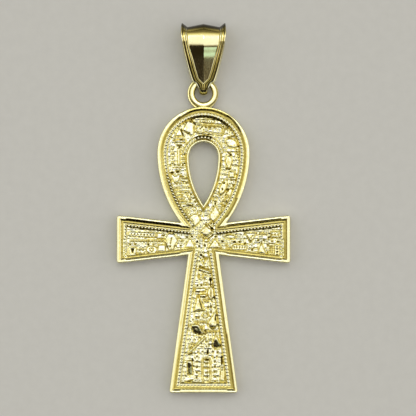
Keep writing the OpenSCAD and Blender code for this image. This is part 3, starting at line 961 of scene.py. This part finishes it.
def fold_line():
    """The fold's closed line from its side, as angles, outer and inner points: top bend, front leaf, low
    bend, back leaf. A bend is its middle plus radius times direction, and a leaf is the straight line
    between bends, the front one bowed in."""
    tilt = np.arcsin((BAIL_TOP_R - LOW_R) / BAIL_RUN)
    low_mid = np.array([LOW_UP, LOW_R])
    top_mid = low_mid + BAIL_RUN * np.array([np.cos(tilt), np.sin(tilt)])
    turn = np.pi / 2 + 2 * tilt
    bends = []
    arcs = [(top_mid, BAIL_TOP_R, BAIL_TOP_T, -np.pi / 2, turn, 81),
            (low_mid, LOW_R, BAIL_T, turn, 1.5 * np.pi, 45)]
    for middle, r, wall, *places in arcs:
        angle = np.linspace(*places)
        way = np.stack([np.cos(angle), np.sin(angle)], -1)
        bends.append(np.column_stack([angle, middle + r * way, middle + (r - wall) * way]))
    parts = []
    for bend, following, steps, bow in ((*bends, 95, LEAF_BOW), (*bends[::-1], 60, 0)):
        t = np.arange(1, steps) / steps
        angle = bend[-1, 0]
        leaf = between(bend[-1], following[0], t)
        leaf[:, 0] = angle
        leaf[:, 1:] += bow * (4 * t * (1 - t))[:, None] * np.tile([np.cos(angle), np.sin(angle)], 2)
        parts += [bend, leaf]
    line = np.concatenate(parts)
    return line[:, 0], line[:, 1:3], line[:, 3:]

# %% Face of the bail
def bail_relief(x, half, panel, front, down):
    """Height and tone of the face over the plain fold: the border over the share from edge to panel, the
    roof-shaped panel with a swell, both sunk at the top, and a plain wire where the strip is narrow. The
    tones hold a painted reflection of a dark room: on the border's lower part, the upper face and the sunk
    top."""
    side = np.abs(x)
    share = (half - side) / (half - panel)
    border, border_tone = along(share, BORDER_LINE)
    top = step(0.14, 0.03, down)
    across = side / np.maximum(panel, 0.05)
    swell = 0.12 * np.exp(-(((down - 0.34) / 0.09) ** 2))
    roof = swell - 0.05 - 0.6 * np.maximum(down - 0.28, 0) ** 2 - 0.12 * side
    roof = mix(roof, -0.12 - 0.38 * np.minimum(across, 1), top)
    border = mix(border, np.interp(share, [0, 0.1, 1], [-0.06, 0, -0.5]), top)
    # Painted reflection of a dark room: the border's lower part is darkened.
    border_tone = border_tone - 0.9 * step(0.4, 0.62, down) * (share > 0.2)
    tone = mix(PLAIN_TONE, np.where(share > 1, 0.2, border_tone), front)
    # Painted reflection of a dark room: the face darker towards the top, and the sunk top of the fold nearly
    # black.
    tone = mix(tone - 0.6 * step(0.21, 0.14, down), -1.3, top)
    edge = -0.1 * (1 - dome((half - side) / 0.12))
    face = mix(edge, np.where(share > 1, roof, border), front)
    wire = -0.16 * (side / half) ** 3
    narrow = step(0.62, 0.5, half)
    return mix(face, wire, narrow), mix(tone, PLAIN_TONE, narrow)


def bail_surface():
    """The section carried around the fold: outer face from left to right, side, inner face back, side."""
    angle, outer, inner = fold_line()
    down = (TOP_REACH - outer[:, :1]) / BAIL_LEN
    half = BAIL_W / 2 * np.interp(down, *BAIL_ROWS.T)
    panel = np.interp(down, *PANEL_ROWS.T) * step(0.9, 0.84, down)
    break_at = np.maximum(panel, 0.35 * half)
    t = np.linspace(0, 1, 27)[:-1]
    border = mix(half, break_at, t)
    across = np.concatenate([-border, break_at * np.linspace(-1, 1, 41), border[:, ::-1]], 1)
    front = step(np.radians(-50), 0, angle) * step(np.radians(150), np.radians(110), angle)
    lift, tone = bail_relief(across, half, panel, front[:, None], down)
    way = np.stack([np.cos(angle), np.sin(angle)], -1)
    face = outer[:, None] + lift[:, :, None] * way[:, None]
    back_x = half * np.linspace(1, -1, 15) * 0.985
    side_x = half * [1, 1]
    side_at = np.array([0.3, 0.75])
    inner = inner[:, None]
    right = between(face[:, -1:], inner, side_at)
    left = between(face[:, :1], inner, side_at[::-1])
    section = np.concatenate([face, right, inner + 0 * back_x[:, :, None], left], 1)
    x = np.concatenate([across, side_x, back_x, -side_x], 1)
    tones = np.full(x.shape, PLAIN_TONE)
    tones[:, :across.shape[1]] = tone
    points = np.concatenate([x[:, :, None], section], 2)
    return points.reshape(-1, 3), quads(*x.shape, 1, 1), tones.reshape(-1)


bail = make_piece("bail", *bail_surface(), "bail", "bail_gold")

# %% [markdown]
# ## Sums in a material
# A material is a net of nodes. To write sums as plain sums, a small class holds a node's output and turns
# +, -, * and / into Math nodes. All other nodes come from one method.

# %% Helpers for materials
class Wire:
    """One node output. A sum with it adds a Math node and gives that node's output."""

    def __init__(self, paint, socket):
        self.paint = paint
        self.socket = socket


def math_node(operation, swapped):
    """One operator of a wire. Where swapped, the wire is the second number, as in 1 - wire."""
    def operator(wire, other):
        pair = [other, wire] if swapped else [wire, other]
        return wire.paint.node("Math", {"operation": operation}, pair)
    return operator


for word, operation in (("add", "ADD"), ("sub", "SUBTRACT"), ("mul", "MULTIPLY"), ("truediv", "DIVIDE")):
    setattr(Wire, f"__{word}__", math_node(operation, False))
    setattr(Wire, f"__r{word}__", math_node(operation, True))


class Paint:
    """The nodes of one material or of the world."""

    def __init__(self, tree):
        self.tree = tree
        tree.nodes.clear()

    def node(self, kind, settings, sockets, output=0):
        """Adds a node: settings first, with stops for a ramp, then values or wires of its sockets, in a list
        or in a dictionary by name."""
        made = self.tree.nodes.new("ShaderNode" + kind)
        stops = settings.pop("stops", [])
        for name, value in settings.items():
            setattr(made, name, value)
        while stops and len(made.color_ramp.elements) < len(stops):
            made.color_ramp.elements.new(1)
        for k, (place, colour) in enumerate(stops):
            made.color_ramp.elements[k].position = place
            made.color_ramp.elements[k].color = (*colour, 1)
        for key, value in enumerate(sockets) if isinstance(sockets, list) else sockets.items():
            if isinstance(value, Wire):
                self.tree.links.new(value.socket, made.inputs[key])
            else:
                made.inputs[key].default_value = value
        return Wire(self, made.outputs[output]) if len(made.outputs) else None

    def noise(self, place, scale, detail=3.0, rough=0.55):
        """Cloudy pattern from 0 to 1 at a scale in waves per unit of place."""
        sockets = {"Vector": place, "Scale": scale, "Detail": detail, "Roughness": rough}
        return self.node("TexNoise", {}, sockets)

    def share(self, value, low, high):
        """0 below low, 1 above high and a smooth run between."""
        settings = {"interpolation_type": "SMOOTHSTEP"}
        return self.node("MapRange", settings, {"Value": value, "From Min": low, "From Max": high})

    def blend(self, share, first, second):
        """The first colour where the share is 0 and the second where it is 1."""
        sockets = {0: share, 6: first, 7: second}
        return self.node("Mix", {"data_type": "RGBA"}, sockets, 2)


def new_material(name):
    """An empty material and its paint."""
    material = bpy.data.materials.new(name)
    material.use_nodes = True
    return material, Paint(material.node_tree)


# %% [markdown]
# ## Gold
# Gold is a mirror, so its roughness and what it mirrors count most. The casting is grainy, and its colour
# follows its tones, which are painted light: nearly black with painted shade in hollows and on walls turned
# from the light, and pale with painted highlights on high places. The bail is sheet, polished smooth, with
# faint marks from the buffing wheel.

# %% Gold finishes: tone, red, green and blue, in hundredths
GOLD_TONES = graph("""-160 1 0.8 0.3, -120 5 4 1.2, -90 30 24.5 6.5, -60 56 45.5 12, -20 78 67 23.5,
    10 90 84 47, 50 96 94 64, 100 100 99 82""")


def gold(name, grain, smooth, rough, marks):
    """A gold finish: its grain, its roughness on high and on low places and its polishing marks."""
    material, paint = new_material(name)
    local = paint.node("TexCoord", {}, [], "Object")
    place = paint.node("Mapping", {}, {"Vector": local, "Scale": (1 / MM,) * 3})
    streaks = paint.node("Mapping", {}, {"Vector": local, "Scale": (9 / MM, 0.7 / MM, 0.7 / MM)})
    painted_light_tone = paint.node("Attribute", {"attribute_name": "painted_light_tone"}, [], "Fac")
    cloud = paint.noise(place, 0.5, 2.0)
    pores = paint.noise(place, 5.0, 4.0, 0.62)
    fine = paint.noise(place, 22.0, 2.0)
    rubbed = paint.noise(streaks, 1.0, 3.0)
    high = paint.share(painted_light_tone + (pores - 0.5) * 0.3, -0.1, 0.8)
    low = paint.share(painted_light_tone * -1 + (pores - 0.5) * 0.3, 0.25, 1.5)
    # The colour follows the painted light and shade of the tones, mottled by pores and clouds.
    painted_light_mottled = painted_light_tone + (pores - 0.5) * 0.35 + (cloud - 0.5) * 0.3
    stops = [((at - DEEPEST) / (HIGHEST - DEEPEST), colour) for at, *colour in GOLD_TONES]
    colour = paint.node("ValToRGB", {"stops": stops}, [(painted_light_mottled - DEEPEST) / (HIGHEST - DEEPEST)])
    dull = smooth + (rough - smooth) * (low * 0.7 + (1 - high) * 0.3)
    roughness = dull + (pores - 0.5) * 0.12 + (rubbed - 0.5) * marks * 0.25
    height = pores * grain + fine * grain * 0.35 + rubbed * marks * 0.12
    bump = paint.node("Bump", {}, {"Height": height, "Strength": 1.0, "Distance": 0.05 * MM})
    sockets = {"Base Color": colour, "Roughness": roughness, "Normal": bump, "Metallic": 1.0}
    shader = paint.node("BsdfPrincipled", {}, sockets)
    paint.node("OutputMaterial", {}, {"Surface": shader})
    print("gold finish", name, "has", len(material.node_tree.nodes), "nodes")
    return material


casting.data.materials.append(gold("cast gold", grain=0.25, smooth=0.15, rough=0.32, marks=0.1))
top_ring.data.materials.append(gold("ring gold", grain=0.25, smooth=0.16, rough=0.35, marks=0.2))
bail.data.materials.append(gold("sheet gold", grain=0.05, smooth=0.08, rough=0.24, marks=0.5))

# %% [markdown]
# ## Floor, light and camera
# Polished metal shows the room more than itself. The room is a soft sky: bright overhead, dark on the near
# side, dimmer on the far side, and with two small cool windows. A wide lamp gives the floor a soft shadow.

# %% Floor
bpy.ops.mesh.primitive_plane_add(size=0.5)
floor = bpy.context.object
floor.name = "floor"
floor_material, floor_paint = new_material("pale floor")
mottle = floor_paint.noise(floor_paint.node("TexCoord", {}, [], "Object"), 900.0, 3.0)
floor_colour = floor_paint.blend(mottle, (0.63, 0.62, 0.6, 1), (0.69, 0.68, 0.66, 1))
floor_look = floor_paint.node("BsdfPrincipled", {}, {"Base Color": floor_colour, "Roughness": 0.8})
floor_paint.node("OutputMaterial", {}, {"Surface": floor_look})
floor.data.materials.append(floor_material)

# %% Sky
world = bpy.data.worlds.new("soft room")
bpy.context.scene.world = world
world.use_nodes = True
sky = Paint(world.node_tree)
way = sky.node("TexCoord", {}, [], "Generated")
east, north, up = [sky.node("SeparateXYZ", {}, [way], axis) for axis in "XYZ"]
high_sky = sky.share(up, 0.55, 0.95)
low_sky = sky.share(up, 0.32, 0.02)
near_side = sky.share(north * -0.98 - east * 0.12, 0.34, 0.46)
far_side = sky.share(north, 0.5, 0.8)
window = sky.share(east * 0.25 - north * 0.63 + up * 0.735, 0.99, 0.998)
window = window + sky.share(north * 0.36 - east * 0.36 + up * 0.86, 0.985, 0.995)
light = (0.95 + 0.2 * high_sky) * (1 - near_side * 0.98) * (1 - low_sky * 0.7) * (1 - far_side * 0.75)
plain = sky.blend(high_sky, (1.0, 0.95, 0.82, 1), (1.0, 1.0, 0.98, 1))
warm = sky.blend(near_side, plain, (1.0, 0.7, 0.35, 1))
tint = sky.blend(window, warm, (0.75, 1.0, 0.9, 1))
glow = sky.node("Background", {}, {"Color": tint, "Strength": light + window * 0.9})
sky.node("OutputWorld", {}, {"Surface": glow})

# %% Lamp
lamp_data = bpy.data.lights.new("overhead lamp", "AREA")
lamp_data.shape = "DISK"
lamp_data.size = 0.12
lamp_data.energy = 0.12
lamp = bpy.data.objects.new("overhead lamp", lamp_data)
bpy.context.scene.collection.objects.link(lamp)
lamp.location = (0.02, 0.12, 0.42)
lamp.rotation_euler = (-0.28, 0.05, 0)

# %% Camera
PHOTO_PX, PX_PER_MM, LEFT_OF_MIDDLE_PX, CAMERA_UP = 416, 8.2, 4.5, 0.25
camera_data = bpy.data.cameras.new("camera")
camera = bpy.data.objects.new("camera", camera_data)
bpy.context.scene.collection.objects.link(camera)
bpy.context.scene.camera = camera
camera_data.sensor_width = 36
camera_data.lens = camera_data.sensor_width * (CAMERA_UP - RIM_T * MM) / (PHOTO_PX / PX_PER_MM * MM)
camera_data.clip_start = 0.01
camera_data.clip_end = 5
camera.location = (LEFT_OF_MIDDLE_PX / PX_PER_MM * MM, 0, CAMERA_UP)
bpy.context.scene.view_settings.view_transform = "Standard"
print("lens", round(camera_data.lens), "mm, camera", CAMERA_UP, "m up")
